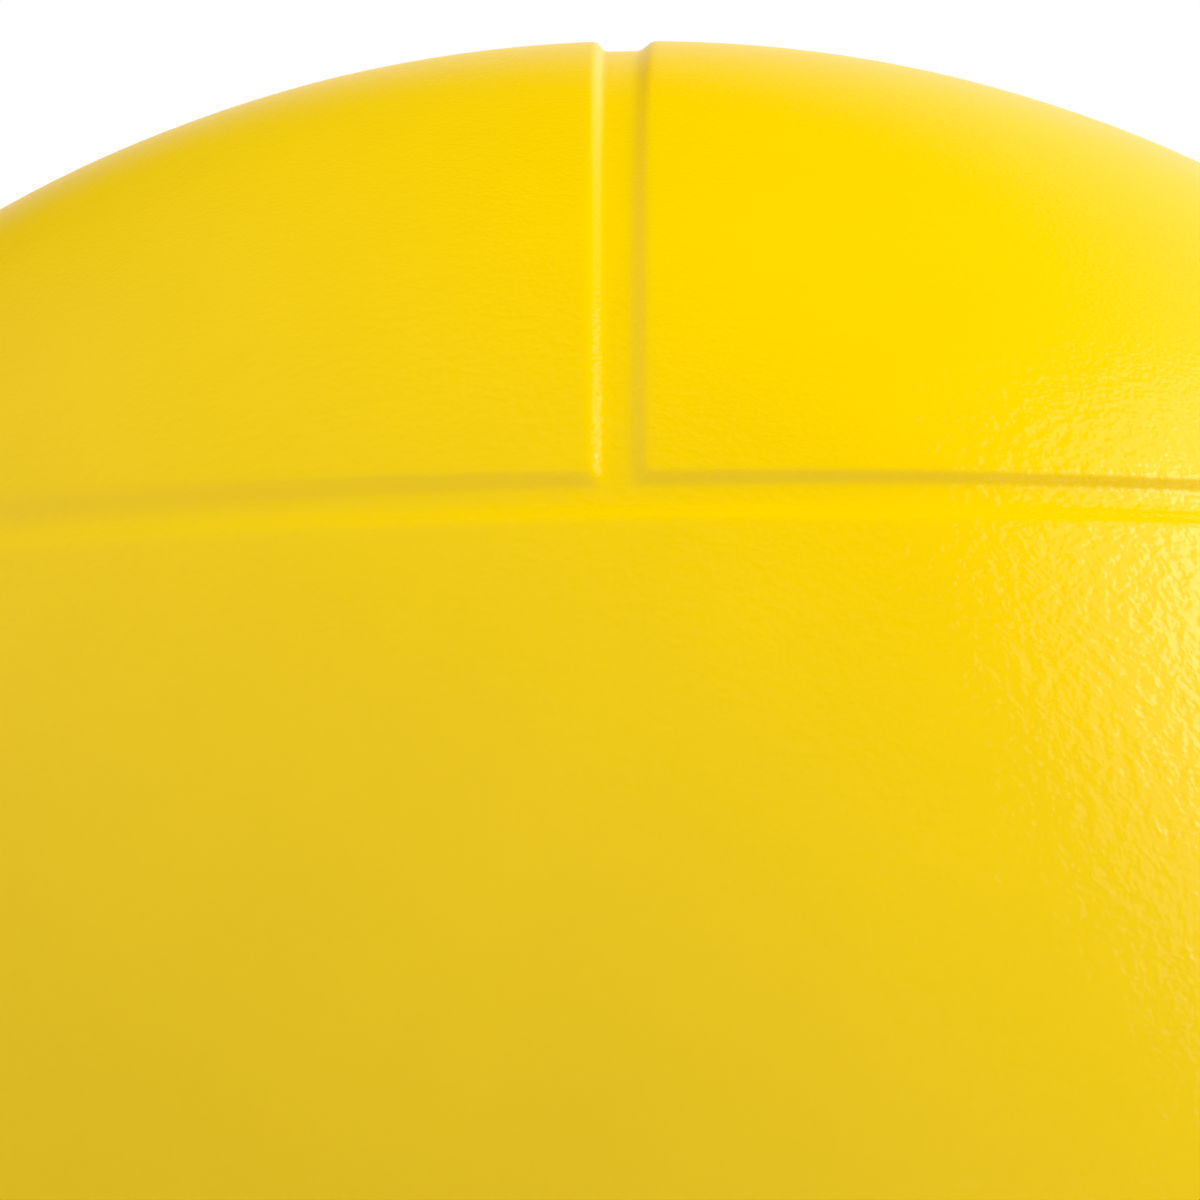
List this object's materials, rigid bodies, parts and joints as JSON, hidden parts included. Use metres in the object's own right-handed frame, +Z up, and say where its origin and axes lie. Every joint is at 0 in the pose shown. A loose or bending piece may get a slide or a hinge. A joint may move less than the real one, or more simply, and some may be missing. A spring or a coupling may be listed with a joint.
{
  "type": "foam volleyball",
  "caption": "Foam volleyball: a solid moulded foam core in a sprayed satin yellow skin, with raised panels parted by shallow flat-bottomed grooves.",
  "frame": {"origin": "centre of the ball", "axes": "+Z up, -Y towards the viewer; each axis passes through the middle of a groove between the two panels of one side"},
  "size_m": [0.21, 0.21, 0.21],
  "materials": {
    "sprayed_skin": "satin",
    "moulded_foam": "matte"
  },
  "bodies": {
    "root": {"skin": "sprayed_skin", "foam_core": "moulded_foam"}
  },
  "joints": []
}
